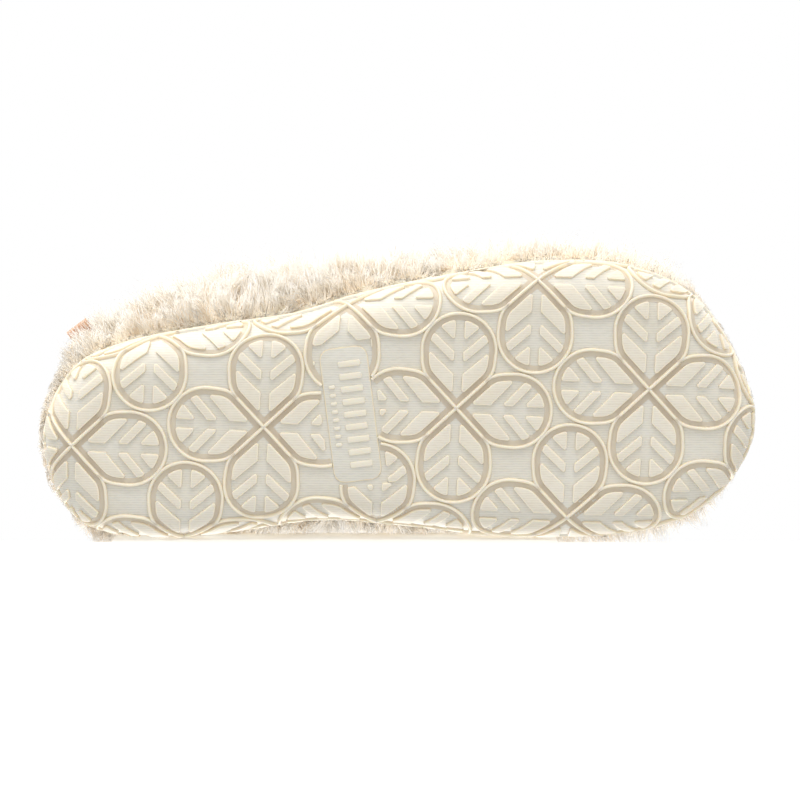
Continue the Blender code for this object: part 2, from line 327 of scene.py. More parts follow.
def soleRoll():
    # the rounded edge as arc length, inset, height and its outward normal
    knots = np.array(sole["profile"], float)
    fine = []
    for k in range(1, len(knots) - 2):
        fine += bendThrough(*knots[k - 1:k + 3], 30)
    fine = np.array(fine)
    length = lengthAlong(fine)
    run = np.gradient(fine, axis=0)
    normal = np.stack([run[:, 1], run[:, 0]], axis=1)   # (outwards, up)
    normal /= np.linalg.norm(normal, axis=1, keepdims=True)
    return length, fine, normal


edge, edgeOut = edgeLoop()
rollLength, rollPoints, rollNormal = soleRoll()
flatInset = rollPoints[0, 0]
rollEnd = float(np.interp(sole["rimStart"], rollPoints[:, 1], rollLength))


def signedInset(places):
    # how far inside the outsole's edge each flat place is, with the nearest edge place and its normal
    best = np.full(len(places), 1e9)
    index = np.zeros(len(places), int)
    batch, coarse = 4000, 4   # every fourth edge place is tried first, then its neighbours
    for start in range(0, len(places), batch):
        now = slice(start, start + batch)
        far = ((places[now, None, :] - edge[None, ::coarse, :]) ** 2).sum(axis=2)
        near = far.argmin(axis=1) * coarse
        for shift in range(1 - coarse, coarse):
            test = (near + shift) % len(edge)
            gap = ((places[now] - edge[test]) ** 2).sum(axis=1)
            closer = gap < best[now]
            best[now] = np.where(closer, gap, best[now])
            index[now] = np.where(closer, test, index[now])
    gap = places - edge[index]
    out = edgeOut[index]
    inset = -(gap * out).sum(axis=1)
    along = gap + out * inset[:, None]
    return inset, edge[index] + along, out


def onRoll(over):
    # inset, height and outward normal at a distance round the rolled edge
    return [np.interp(over, rollLength, values) for values in (*rollPoints.T, *rollNormal.T)]


def wrapOnSole(flat):
    # flat x, y and height above the recess, in mm, laid on the sole's underside and round its edge
    inset, foot, out = signedInset(flat[:, :2])
    curlInset, curlHeight, outShare, upShare = onRoll(np.clip(flatInset - inset, 0, rollEnd))
    rise = flat[:, 2] - sole["recess"]
    onFlat = inset >= flatInset
    level = foot - out * curlInset[:, None] + out * (outShare * rise)[:, None]
    level = np.where(onFlat[:, None], flat[:, :2], level)
    height = np.where(onFlat, -rise, curlHeight + upShare * rise)
    return np.column_stack([level, height])


def soleBody():
    # the cup: recess floor, rolled edge, rim, inner wall and inner floor, with the rim's faces apart
    rows = [onRoll(over) for over in np.linspace(0, rollEnd, sole["rollSteps"])]
    deep = sole["recess"]
    section = [(flatInset + 0.5, deep)]
    section += [(inset + out * deep, height - up * deep) for inset, height, out, up in rows]
    low, high, wall = sole["rimStart"], sole["rimTop"], sole["wall"]
    section += [(0.35, low - 0.1), (0.02, low + 0.15), (-0.12, low + 0.6), (-0.15, high - 0.8),
                (0.0, high - 0.3), (0.5, high), (wall - 0.5, high), (wall, high - 0.4), (wall + 0.3, 13.5)]
    section += sole["innerCorner"]
    step = len(edge) / sole["around"]
    picks = (np.arange(sole["around"]) * step).astype(int)
    points = []
    for inset, height in section:
        points.append(np.column_stack([edge[picks] - edgeOut[picks] * inset, np.full(len(picks), height)]))
    count = len(picks)
    faces = [tuple(range(count))[::-1], tuple((len(section) - 1) * count + k for k in range(count))]
    for row in range(len(section) - 1):
        faces += ringFaces(row, row + 1, count)
    rimRow = sole["rollSteps"] + 1
    rim = [face for face in faces if min(face) >= rimRow * count and len(face) == 4]
    rest = [face for face in faces if min(face) < rimRow * count or len(face) != 4]
    return np.concatenate(points), rest, rim


# Tread: rosettes of four teardrop petals on a staggered grid

tread = {
    "firstRosette": (-1.9, -21.3),
    "alongRow": (-0.74, -70.1),
    "nextRow": (44.2, -1.6),
    "spread": 44.0,            # a rosette farther outside than this can't touch the sole
    "turn": math.radians(7.7),
    "petalCentre": 21.1,
    "petalRadius": 13.4,
    "armLength": 15.5,
    "blend": (95, 135),        # degrees from a petal's outer tip between which it straightens
    "ringHalf": 137,           # degrees that a petal's rib runs each way from the tip
    "gutterStep": 0.015,       # height between gutters that cross
    # the rib's own section, then the smooth gutter beside it
    "ridge": [(-0.74, -0.2), (-0.66, 0.35), (-0.44, 0.98), (-0.18, 1.22),
              (0.18, 1.22), (0.44, 0.98), (0.66, 0.35), (0.74, -0.2)],
    "gutter": [(-2.60, -0.2), (-2.50, 0.10)],
    "landInset": 2.35,
    "landHeight": 1.08,
    "corner": 0.75,            # rounding of the lands' corners
    "midrib": 1.55,            # half the width of the leaf's middle channel
    "veins": (9.6, 15.6),      # where the side channels lie
    "veinHalf": 1.45,
    "veinLean": math.radians(48),
}
# each land's edge as an inset and a height below its top
landEdge = [(0, None), (0.02, 0.34), (0.14, 0.10), (0.46, 0)]
plaque = {
    "centre": (-3.0, 17.0),
    "half": (24.6, 8.8),
    "corner": 4.0,
    "turn": math.radians(-2.0),
    "height": 0.5,
    "margin": 1.7,             # bare floor round it
    # rows of bars: first, spacing, count, half width, bottom and top
    "bars": [(-18.4, 4.6, 9, 1.15, -5.8, 2.4), (-10.5, 3.0, 8, 0.7, 4.3, 6.7)],
    "barHeight": 0.55,
}


def rosetteCentres():
    first, along, across = (np.array(tread[k]) for k in ("firstRosette", "alongRow", "nextRow"))
    found = []
    for row in range(-3, 4):
        for column in range(-4, 5):
            place = first + along * (column + 0.5 * (row % 2)) + across * row
            if signedInset(place[None])[0][0] > -tread["spread"]:
                found.append(place)
    return found


def petalFrames():
    for centre in rosetteCentres():
        for quarter in range(4):
            angle = math.pi + tread["turn"] + quarter * math.pi / 2
            yield centre, np.array([math.cos(angle), math.sin(angle)])


def petalEdge(angles, inset=0.0):
    # distance of the teardrop's edge from the petal's centre, by angle from its outer tip
    radius = tread["petalRadius"]
    straight = tread["petalCentre"] * math.sin(math.pi / 4)
    start, end = tread["blend"]
    share = np.clip((np.degrees(np.abs(angles)) - start) / (end - start), 0, 1)
    blended = radius + (straight - radius) * share * share * (3 - 2 * share) - inset
    line = (straight - inset) / np.cos(np.clip(np.abs(angles) - 0.75 * math.pi, 0, 0.3))
    return np.where(np.abs(angles) > 0.75 * math.pi, line, blended)


def turned(places, angle):
    x, y = places.T
    return np.column_stack([x * math.cos(angle) - y * math.sin(angle),
                            x * math.sin(angle) + y * math.cos(angle)])


def intoPlaque(places):
    return turned(places - np.array(plaque["centre"]), -plaque["turn"])


def outOfPlaque(local):
    return turned(local, plaque["turn"]) + np.array(plaque["centre"])


def sweep(path, section):
    # a ridge along a flat path; its section is (side, height) pairs from left to right
    run = np.gradient(path, axis=0)
    run /= np.linalg.norm(run, axis=1, keepdims=True)
    left = np.stack([-run[:, 1], run[:, 0]], axis=1)
    count = len(section)
    points = np.zeros((len(path), count, 3))
    for k, (side, height) in enumerate(section):
        points[:, k, :2] = path - left * side
        points[:, k, 2] = height
    last = (len(path) - 1) * count
    faces = []
    for row in range(len(path) - 1):
        faces += ringFaces(row, row + 1, count)
    faces += [tuple(range(count))[::-1], tuple(last + k for k in range(count))]
    return points.reshape(-1, 3), faces


def clearRuns(path):
    # the stretches of a path that lie on the sole and off the plaque
    inset = signedInset(path)[0]
    local = np.abs(intoPlaque(path))
    onPlaque = (local < np.array(plaque["half"])).all(axis=1)
    keep = (inset > flatInset - rollEnd - 1.5) & ~onPlaque
    runs, current = [], []
    for place, kept in zip(path, keep, strict=True):
        if kept:
            current.append(place)
        elif current:
            runs.append(np.array(current))
            current = []
    if current:
        runs.append(np.array(current))
    return [run for run in runs if len(run) > 3]


def ridgeParts():
    parts = []
    ridge = tread["ridge"]
    for count, (centre, axis) in enumerate(petalFrames()):
        lift = tread["gutterStep"] * (count % 4)
        left = [(side, height + lift) for side, height in tread["gutter"] + [(-0.70, 0.10)]]
        oneSide = left + ridge[1:]
        left = [(side, height - 0.08) for side, height in left]
        bothSides = left + ridge[1:-1] + [(-side, height) for side, height in left[::-1]]
        side = np.array([-axis[1], axis[0]])
        angles = np.radians(np.linspace(-tread["ringHalf"], tread["ringHalf"], 76))
        far = petalEdge(angles)
        ring = centre + axis * tread["petalCentre"]
        ring = ring + (np.cos(angles) * far)[:, None] * axis + (np.sin(angles) * far)[:, None] * side
        arm = (axis + side) / math.sqrt(2)
        reach = np.linspace(0, tread["armLength"], 14)
        for path, section in ((ring, oneSide), (centre + reach[:, None] * arm, bothSides)):
            for run in clearRuns(path):
                parts.append(sweep(run, section))
    return parts


def clipped(polygon, normal, limit):
    # the part of a flat polygon on the near side of a line
    kept = []
    for k, here in enumerate(polygon):
        after = polygon[(k + 1) % len(polygon)]
        a, b = np.dot(here, normal) - limit, np.dot(after, normal) - limit
        if a <= 0:
            kept.append(here)
        if a * b < 0:
            kept.append(here + (after - here) * (a / (a - b)))
    return kept


def areaOf(polygon):
    p = np.array(polygon)
    q = np.roll(p, -1, axis=0)
    return float((p[:, 0] * q[:, 1] - p[:, 1] * q[:, 0]).sum() / 2)


def leafLobes():
    # the raised parts of one petal between its midrib and side veins, with the axis along x
    angles = np.radians(np.linspace(-135, 135, 46))
    far = petalEdge(angles, tread["landInset"])
    outline = list(np.column_stack([tread["petalCentre"] + np.cos(angles) * far, np.sin(angles) * far]))
    outline.append(np.array([tread["landInset"] * math.sqrt(2), 0.0]))
    lean = tread["veinLean"]
    lobes = []
    for side in (1, -1):
        half = clipped(outline, np.array([0.0, -side]), -tread["midrib"])
        slant = np.array([math.sin(lean), -side * math.cos(lean)])
        limits = [None] + list(tread["veins"]) + [None]
        for low, high in zip(limits[:-1], limits[1:], strict=True):
            lobe = half
            if low is not None:
                lobe = clipped(lobe, -slant, -(low + tread["veinHalf"]))
            if high is not None:
                lobe = clipped(lobe, slant, high - tread["veinHalf"])
            if len(lobe) > 2 and abs(areaOf(lobe)) > 2:
                lobes.append(lobe)
    return lobes


def awayFromPlaque(polygon):
    # what is left of a polygon outside the plaque's frame, as convex pieces
    local = list(intoPlaque(np.array(polygon)))
    wide, high = (half + plaque["margin"] for half in plaque["half"])
    pieces = []
    for normal, limit in (((1, 0), wide), ((-1, 0), wide), ((0, 1), high), ((0, -1), high)):
        normal = np.array(normal, float)
        outside = clipped(local, -normal, -limit)
        if len(outside) > 2 and abs(areaOf(outside)) > 1.5:
            pieces.append(list(outOfPlaque(np.array(outside))))
        local = clipped(local, normal, limit)
        if len(local) < 3:
            break
    return pieces if len(local) > 2 and abs(areaOf(local)) > 0.2 else [polygon]


def raisedBars():
    # plain upright bars in the plaque, a tall row and a low row
    bars = []
    for start, step, count, half, low, high in plaque["bars"]:
        for k in range(count):
            x = start + step * k
            bars.append(np.array([(x - half, low), (x + half, low), (x + half, high), (x - half, high)]))
    return [list(outOfPlaque(bar)) for bar in bars]


def plaqueOutline():
    wide, high = plaque["half"]
    return list(outOfPlaque(np.array([(-wide, -high), (wide, -high), (wide, high), (-wide, high)])))


def coreOf(polygon, radius):
    # a convex polygon drawn in by a radius on every side
    core = polygon
    for k, here in enumerate(polygon):
        run = polygon[(k + 1) % len(polygon)] - here
        length = np.linalg.norm(run)
        if length > 1e-5:
            out = np.array([run[1], -run[0]]) / length
            core = clipped(core, out, np.dot(here, out) - radius)
    return [p for k, p in enumerate(core) if np.linalg.norm(p - core[k - 1]) > 0.02]


def roundedOutline(polygon, radius, spacing):
    # places on the core and the way out from each, so that any radius gives an outline with round corners
    if areaOf(polygon) < 0:
        polygon = polygon[::-1]
    core = coreOf(polygon, radius)
    while len(core) < 3 and radius > 0.2:
        radius *= 0.7
        core = coreOf(polygon, radius)
    if len(core) < 3:
        return None
    places, ways = [], []
    for k, here in enumerate(core):
        first, second = here - core[k - 1], core[(k + 1) % len(core)] - here
        start = math.atan2(-first[0], first[1])
        turn = (math.atan2(-second[0], second[1]) - start + math.pi) % (2 * math.pi) - math.pi
        steps = math.ceil(turn / 0.7) if turn > 0.05 else 0
        for j in range(steps + 1):
            angle = start + turn * (j / steps if steps else 0.5)
            places.append(here)
            ways.append((math.cos(angle), math.sin(angle)))
        extra = int(np.linalg.norm(second) / spacing)
        for j in range(1, extra + 1):
            places.append(here + second * j / (extra + 1))
            ways.append(ways[-1] if j > 1 else (math.cos(start + turn), math.sin(start + turn)))
    return np.array(places), np.array(ways), radius


def raisedShapes(polygons, height, corner, spacing, inner):
    # lands with round corners and a soft edge; faces of the flat tops are told apart from the edges
    parts = []
    for polygon in polygons:
        outline = roundedOutline(polygon, corner, spacing)
        if outline is None:
            continue
        places, ways, radius = outline
        share = min(1.0, radius / 0.6)
        rings = []
        for inset, below in landEdge:
            level = -0.15 if below is None else height - below
            ring = places + ways * (radius - inset * share)
            rings.append(np.column_stack([ring, np.full(len(places), level)]))
        middle = rings[-1].mean(axis=0)
        rings += [middle + (rings[-1] - middle) * scale for scale in inner]
        count = len(places)
        points = np.concatenate(rings + [middle[None]])
        edgeFaces, topFaces = [], []
        for row in range(len(rings) - 1):
            (edgeFaces if row < len(landEdge) - 1 else topFaces).extend(ringFaces(row, row + 1, count))
        last = (len(rings) - 1) * count
        topFaces += [(last + k, last + (k + 1) % count, len(points) - 1) for k in range(count)]
        edgeFaces.append(tuple(range(count))[::-1])
        parts.append((points, edgeFaces, topFaces))
    return parts


def ribbedRubber(name, shadedValley, crest):
    # thermoplastic rubber from an etched mould: matt, with broken ribs 0.9 mm apart that grey it, their
    # valleys painted darker as painted shade
    material, tree, shader = newMaterial(name)
    place = addNode(tree, "ShaderNodeTexCoord").outputs["Object"]
    skewed = addNode(tree, "ShaderNodeMapping", {"Rotation": (0, 0, -shot["roll"])}, {"Vector": place})
    ribs = addNode(tree, "ShaderNodeTexWave",
                   {"wave_type": "BANDS", "bands_direction": "X", "Scale": bandScale(0.88),
                    "Distortion": 0.9, "Detail": 2.0, "Detail Scale": 1.6}, {"Vector": skewed.outputs[0]})
    dashes = addNode(tree, "ShaderNodeMapping", {"Scale": (1.0, 0.45, 1.0)}, {"Vector": skewed.outputs[0]})
    broken = addNode(tree, "ShaderNodeTexNoise", {"Scale": grainScale(1.11), "Detail": 2.0},
                     {"Vector": dashes.outputs[0]})
    both = addNode(tree, "ShaderNodeMath", {"operation": "MULTIPLY_ADD", 1: 0.6},
                   {0: ribs.outputs["Fac"], 2: broken.outputs["Fac"]})
    cloud = addNode(tree, "ShaderNodeTexNoise", {"Scale": grainScale(22.2), "Detail": 3.0},
                    {"Vector": place})
    # painted shade: the ribs' valleys take the darker colour and their crests the lighter
    tone = colourBand(tree, both.outputs[0], [(0.35, shadedValley), (0.95, crest)])
    drift = colourBand(tree, cloud.outputs["Fac"], [(0.3, "#f8f2e6"), (0.7, "#ffffff")])
    warm = multiplied(tree, tone, drift, 0.4)
    finish(tree, shader, warm, 0.62, both.outputs[0], 0.5, 0.0001)
    shader.inputs["IOR"].default_value = 1.5
    lightInside(shader, 0.15, (1.0, 0.75, 0.45), 0.0015)
    return material


def smoothRubber():
    # the same rubber where the mould was polished: creamier and translucent at thin edges, with painted
    # shade that turns it tan low in the gutters and at the foot of each rib and land
    material, tree, shader = newMaterial("smooth moulded rubber")
    height = addNode(tree, "ShaderNodeAttribute", {"attribute_name": "relief"})
    # painted shade: the colour runs from tan at the bottom of the relief to cream at its top
    tone = colourBand(tree, height.outputs["Fac"],
                      [(0.0, "#dccdb4"), (0.12, "#dfd1b9"), (0.5, "#ecdfc7"), (0.85, "#f1e8d6")])
    place = addNode(tree, "ShaderNodeTexCoord").outputs["Object"]
    grain = addNode(tree, "ShaderNodeTexNoise", {"Scale": grainScale(0.667), "Detail": 3.0},
                    {"Vector": place})
    finish(tree, shader, tone, 0.5, grain.outputs["Fac"], 0.12, 0.0001)
    shader.inputs["IOR"].default_value = 1.5
    lightInside(shader, 0.25, (1.0, 0.7, 0.35), 0.002)
    return material


def joinedRubber(name, parts, materials):
    # each part is its points in mm, groups of faces with their material's number, and the relief there
    points, faces, slots, relief = [], [], [], []
    offset = 0
    for partPoints, groups, partRelief in parts:
        points.append(partPoints)
        relief.append(partRelief)
        for partFaces, slot in groups:
            faces += [tuple(offset + v for v in face) for face in partFaces]
            slots += [slot] * len(partFaces)
        offset += len(partPoints)
    obj = meshObject(name, np.concatenate(points) * mm, faces, materials)
    obj.data.polygons.foreach_set("material_index", slots)
    # the relief sets the smooth rubber's painted shade, tan low down and cream high up
    storeValues(obj.data, "relief", np.concatenate(relief))
    selectOnly(obj)
    bpy.ops.object.mode_set(mode="EDIT")
    bpy.ops.mesh.select_all(action="SELECT")
    bpy.ops.mesh.normals_make_consistent(inside=False)
    bpy.ops.object.mode_set(mode="OBJECT")
    bpy.ops.object.shade_smooth_by_angle(angle=math.radians(38))
    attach(obj, "root")
    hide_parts("outsole")
    print(name + ":", len(obj.data.polygons), "faces")


def makeOutsole():
    # each ribbed rubber's first colour is the painted shade in its rib valleys
    materials = [ribbedRubber("ribbed moulded rubber", "#d5d3cb", "#e2e0d8"),
                 ribbedRubber("ribbed cream rubber", "#dfd9cc", "#e9e4d8"), smoothRubber()]
    points, rest, rim = soleBody()
    parts = [(points, [(rest, 0), (rim, 2)], np.full(len(points), 1.0))]
    for flat, partFaces in ridgeParts():
        parts.append((wrapOnSole(flat), [(partFaces, 2)], np.clip(flat[:, 2] / sole["recess"], 0, 1)))
    joinedRubber("cupSole", parts, materials)

    lobes = leafLobes()
    polygons = []
    for centre, axis in petalFrames():
        side = np.array([-axis[1], axis[0]])
        for lobe in lobes:
            placed = [centre + axis * p[0] + side * p[1] for p in lobe]
            middle = np.mean(placed, axis=0)
            if signedInset(middle[None])[0][0] > flatInset - rollEnd - 2:
                polygons += awayFromPlaque(placed)
    barTop = plaque["height"] + plaque["barHeight"]
    # shapes, height, corner, spacing along the edge, rings inside it, and the top's material
    raised = [(polygons, tread["landHeight"], tread["corner"], 2.6, (0.45,), 1),
              ([plaqueOutline()], plaque["height"], plaque["corner"], 2.6, (0.7, 0.35), 0),
              (raisedBars(), barTop, 0.6, 4.0, (), 2)]
    parts = []
    for shapes, height, corner, spacing, inner, top in raised:
        for flat, edgeFaces, topFaces in raisedShapes(shapes, height, corner, spacing, inner):
            relief = np.clip(flat[:, 2] / sole["recess"] + 0.1, 0, 1)
            parts.append((wrapOnSole(flat), [(edgeFaces, 2), (topFaces, top)], relief))
    joinedRubber("treadLands", parts, materials)


makeOutsole()


# Fur: tufts of tapered strands over a backing

def shadeFur(name, stops, tuftTint, sheen):
    # fibre dyed cream, its tone differing from one tuft to the next; deeper in colour towards its root,
    # which is painted shade deep in the pile
    material, tree, shader = newMaterial(name)
    along = addNode(tree, "ShaderNodeAttribute", {"attribute_name": "along"})
    tuft = addNode(tree, "ShaderNodeAttribute", {"attribute_name": "tuft"})
    # painted shade: the colour deepens from the tip towards the root
    tone = colourBand(tree, along.outputs["Fac"], stops)
    tint = colourBand(tree, tuft.outputs["Fac"], [(0.0, tuftTint), (0.55, "#ffffff"), (1.0, "#ffffff")])
    finish(tree, shader, multiplied(tree, tone, tint, 1.0), 0.75)
    shader.inputs["Specular IOR Level"].default_value = 0.25
    shader.inputs["Sheen Weight"].default_value = sheen
    shader.inputs["Sheen Roughness"].default_value = 0.5
    shader.inputs["Sheen Tint"].default_value = (1, 0.97, 0.92, 1)
    lightInside(shader, 1.0, (1.0, 0.94, 0.82), 0.008)
    # light passes right through such fine fibres, so they hold back only a part of it
    path = addNode(tree, "ShaderNodeLightPath")
    share = addNode(tree, "ShaderNodeMath", {"operation": "MULTIPLY", 1: 0.8},
                    {0: path.outputs["Is Shadow Ray"]})
    clear = addNode(tree, "ShaderNodeBsdfTransparent")
    mix = addNode(tree, "ShaderNodeMixShader",
                  links={0: share.outputs[0], 1: shader.outputs[0], 2: clear.outputs[0]})
    tree.links.new(mix.outputs[0], tree.nodes["Material Output"].inputs["Surface"])
    return material


# a line through the middle of the foot's room, in mm: a panel's furry side faces away from it
footLine = {"x": -1.0, "toe": -88, "heel": 92, "z": 34.0}

# what every pile shares; pairs are the least and most of a spread
pile = {
    "tuftsPerSquare": 1.15,
    "tuftLength": (0.72, 1.22),
    "strandLength": (0.7, 1.08),
    "strandWidth": (0.75, 1.25),
    "tipWidth": 0.42,
    "gatherSpread": (0.75, 1.0),
    "wildGather": 0.15,
    "curlSpread": 0.55,
    "rootsAbove": 20.8,        # the outer pile starts over the sole's rim
    "backingAbove": 21.4,
    "pastSkin": 1.2,
    "gatherPower": 1.15,
    "curlPower": 0.9,
    "fullerAcross": 30,
    "fullerAlong": (-20, 20),
    # the brushing at the toe and the heel: where the edge faces enough that way, its reach and its lift
    "brushFacing": (0.45, 0.8),
    "brushMost": 12,
    "brushIn": 0.85,
    "brushUp": 0.6,
}


def nodeSurface(name):
    # a CAD node's triangles in mm, with their normals, areas and middles
    mesh = nodes[name].data
    mesh.calc_loop_triangles()
    points = np.array([v.co for v in mesh.vertices]) / mm
    corners = np.array([t.vertices for t in mesh.loop_triangles])
    places, inverse = np.unique(np.round(points, 3), axis=0, return_inverse=True)
    corners = inverse.reshape(-1)[corners]
    a, b, c = (places[corners[:, k]] for k in range(3))
    normal = np.cross(b - a, c - a)
    area = np.linalg.norm(normal, axis=1) / 2
    return places, corners, normal, area, (a + b + c) / 3


def outerSide(name, middle, normal):
    if name == "collar_cuff_fur":
        return np.ones(len(middle), bool)
    core = np.column_stack([np.full(len(middle), footLine["x"]),
                            np.clip(middle[:, 1], footLine["toe"], footLine["heel"]),
                            np.full(len(middle), footLine["z"])])
    return ((middle - core) * normal).sum(axis=1) > 0


def rootsOn(name, count, seed, side):
    # evenly scattered places on one side of a node, with smooth normals
    places, corners, normal, area, middle = nodeSurface(name)
    away = outerSide(name, middle, normal)
    if side == "inner":
        away = ~away
    if side == "top":
        away = normal[:, 2] > area
    if side == "outer":
        away &= middle[:, 2] > pile["rootsAbove"]
    corners, normal, area = corners[away], normal[away], area[away]
    smooth = np.zeros_like(places)
    for k in range(3):
        np.add.at(smooth, corners[:, k], normal)
    smooth /= np.maximum(np.linalg.norm(smooth, axis=1, keepdims=True), 1e-9)
    dice = np.random.default_rng(seed)
    pick = dice.choice(len(corners), size=count, p=area / area.sum())
    u, v = dice.random(count), dice.random(count)
    u, v = np.where(u + v > 1, 1 - u, u), np.where(u + v > 1, 1 - v, v)
    shares = (1 - u - v, u, v)
    where = sum(places[corners[pick, k]] * share[:, None] for k, share in enumerate(shares))
    facing = sum(smooth[corners[pick, k]] * share[:, None] for k, share in enumerate(shares))
    facing /= np.linalg.norm(facing, axis=1, keepdims=True)
    return where, facing, float(area.sum()), dice


def tuftsOn(name, fur, seed, area):
    # where the pile gathers, each tuft with its own way, length, tint and curl
    count = max(20, int(area / fur["tuftSize"] ** 2 * pile["tuftsPerSquare"]))
    at, facing, _, dice = rootsOn(name, count, seed, fur["side"])
    way = facing + dice.normal(0, 1, (count, 3)) * fur["lean"] + np.array(fur["comb"], float)
    way /= np.linalg.norm(way, axis=1, keepdims=True)
    return {
        "at": at - facing * fur["sunk"],
        "way": way,
        "length": fur["length"] * dice.uniform(*pile["tuftLength"], count),
        "tint": dice.random(count),
        "phase": dice.uniform(0, 2 * math.pi, count),
    }


def nearestTuft(tufts, places):
    tree = KDTree(len(tufts["at"]))
    for k, place in enumerate(tufts["at"]):
        tree.insert(place, k)
    tree.balance()
    return np.array([tree.find(place)[1] for place in places])


def strandMesh(lines, width, rings):
    # each line of points as a tapered three-sided strand, closed at its root and pointed at its tip
    count, steps = lines.shape[:2]
    run = np.gradient(lines, axis=1)
    run /= np.maximum(np.linalg.norm(run, axis=2, keepdims=True), 1e-9)
    helper = np.where(np.abs(run[:, :1, 2:]) > 0.8, np.array([1.0, 0, 0]), np.array([0, 0, 1.0]))
    side = np.cross(run, np.broadcast_to(helper, run.shape))
    side /= np.maximum(np.linalg.norm(side, axis=2, keepdims=True), 1e-9)
    up = np.cross(run, side)
    points = np.zeros((count, (steps - 1) * 3 + 1, 3))
    for k in range(steps - 1):
        radius = width[:, None] * rings[k] / 2
        for j in range(3):
            turn = 2 * math.pi * j / 3
            way = side[:, k] * math.cos(turn) + up[:, k] * math.sin(turn)
            points[:, k * 3 + j] = lines[:, k] + way * radius
    points[:, -1] = lines[:, -1]
    one = [(2, 1, 0)]
    for k in range(steps - 2):
        for j in range(3):
            a, b = k * 3 + j, k * 3 + (j + 1) % 3
            one += [(a, b, b + 3), (a, b + 3, a + 3)]
    last = (steps - 2) * 3
    one += [(last + j, last + (j + 1) % 3, last + 3) for j in range(3)]
    one = np.array(one)
    size = points.shape[1]
    faces = (one[None] + (np.arange(count) * size)[:, None, None]).reshape(-1, 3)
    return points.reshape(-1, 3), faces


def brushUp(lines, skin, overSole):
    # round the toe and the heel the pile is brushed upwards instead of out over the sole
    flat = lines[:, :, :2].reshape(-1, 2)
    inset, _, out = signedInset(flat)
    skinInset = signedInset(skin[:, :2])[0]
    limit = np.repeat(np.minimum(overSole, skinInset + pile["pastSkin"]), lines.shape[1])
    start, end = pile["brushFacing"]
    ends = np.clip((np.abs(out[:, 1]) - start) / (end - start), 0, 1)
    over = np.clip(limit - inset, 0, pile["brushMost"]) * ends * pile["brushIn"]
    lines[:, :, :2] = (flat - out * over[:, None]).reshape(lines[:, :, :2].shape)
    lines[:, :, 2] += over.reshape(lines.shape[:2]) * pile["brushUp"]


def growStrands(name, fur, seed):
    skin, facing, area, dice = rootsOn(name, fur["strands"], seed, fur["side"])
    roots = skin - facing * fur["sunk"]
    tufts = tuftsOn(name, fur, seed + 1, area)
    mine = nearestTuft(tufts, roots)
    count, steps = len(roots), fur["segments"] + 1
    own = facing + dice.normal(0, 1, roots.shape) * fur["stray"] + np.array(fur["comb"], float)
    own /= np.linalg.norm(own, axis=1, keepdims=True)
    length = tufts["length"][mine] * dice.uniform(*pile["strandLength"], count)
    # longer round the outer side of the heel
    start, end = pile["fullerAlong"]
    back = np.clip((roots[:, 1] - start) / (end - start), 0, 1)
    outerBack = np.clip(-roots[:, 0] / pile["fullerAcross"], 0, 1) * back
    length = length * (1 + fur["fuller"] * outerBack)
    wild = dice.random(count) < fur["wild"]
    gather = np.where(wild, pile["wildGather"], fur["gather"]) * dice.uniform(*pile["gatherSpread"], count)
    phase = tufts["phase"][mine] + dice.normal(0, pile["curlSpread"], count)
    width = fur["width"] * dice.uniform(*pile["strandWidth"], count)
    way = tufts["way"][mine]
    across = np.cross(way, np.array([0.3, 0.5, 0.8]))
    across /= np.linalg.norm(across, axis=1, keepdims=True)
    beyond = np.cross(way, across)
    lines = np.zeros((count, steps, 3))
    for k in range(steps):
        s = k / (steps - 1)
        alone = roots + own * (length * s)[:, None]
        together = tufts["at"][mine] + way * (length * s)[:, None]
        share = (gather * s ** pile["gatherPower"])[:, None]
        angle = phase + s * fur["curlTurns"] * 2 * math.pi
        swing = fur["curl"] * s ** pile["curlPower"]
        curl = across * (np.cos(angle) * swing)[:, None] + beyond * (np.sin(angle) * swing)[:, None]
        lines[:, k] = alone * (1 - share) + together * share + curl
    lines[:, :, 2] = np.maximum(lines[:, :, 2], fur["floor"])
    if fur["side"] == "outer":
        brushUp(lines, skin, fur["overSole"])
    points, faces = strandMesh(lines, width, np.linspace(1, pile["tipWidth"], steps - 1))
    along = np.concatenate([np.repeat(np.arange(steps - 1) / (steps - 1), 3), [1.0]])
    return points, faces, np.tile(along, count), np.repeat(tufts["tint"][mine], len(along))


def backingOf(name, fur):
    # the fabric under the pile: the CAD solid's own shape, drawn in on its furry side and subdivided smooth
    obj = nodes[name].copy()
    obj.data = nodes[name].data.copy()
    obj.name = name + "Backing"
    obj.parent = None
    for key in list(obj.keys()):
        del obj[key]
    bpy.context.scene.collection.objects.link(obj)
    obj.data.materials.clear()
    selectOnly(obj)
    bpy.ops.object.mode_set(mode="EDIT")
    bpy.ops.mesh.select_all(action="SELECT")
    bpy.ops.mesh.remove_doubles(threshold=0.00002)
    bpy.ops.mesh.tris_convert_to_quads()
    bpy.ops.object.mode_set(mode="OBJECT")
    mesh = obj.data
    points = np.array([v.co for v in mesh.vertices]) / mm
    normals = np.array([v.normal for v in mesh.vertices])
    if fur["side"] == "top":
        away = normals[:, 2] > 0.3
    else:
        away = outerSide(name, points, normals)
        if fur["side"] == "inner":
            away = ~away
    away &= points[:, 2] > pile["backingAbove"]
    points[away] -= normals[away] * fur["backing"]
    mesh.vertices.foreach_set("co", (points * mm).ravel())
    mesh.update()
    bpy.ops.object.modifier_add(type="SUBSURF")
    obj.modifiers[-1].levels = obj.modifiers[-1].render_levels = fur["smooth"]
    bpy.ops.object.modifier_apply(modifier=obj.modifiers[-1].name)
    return obj


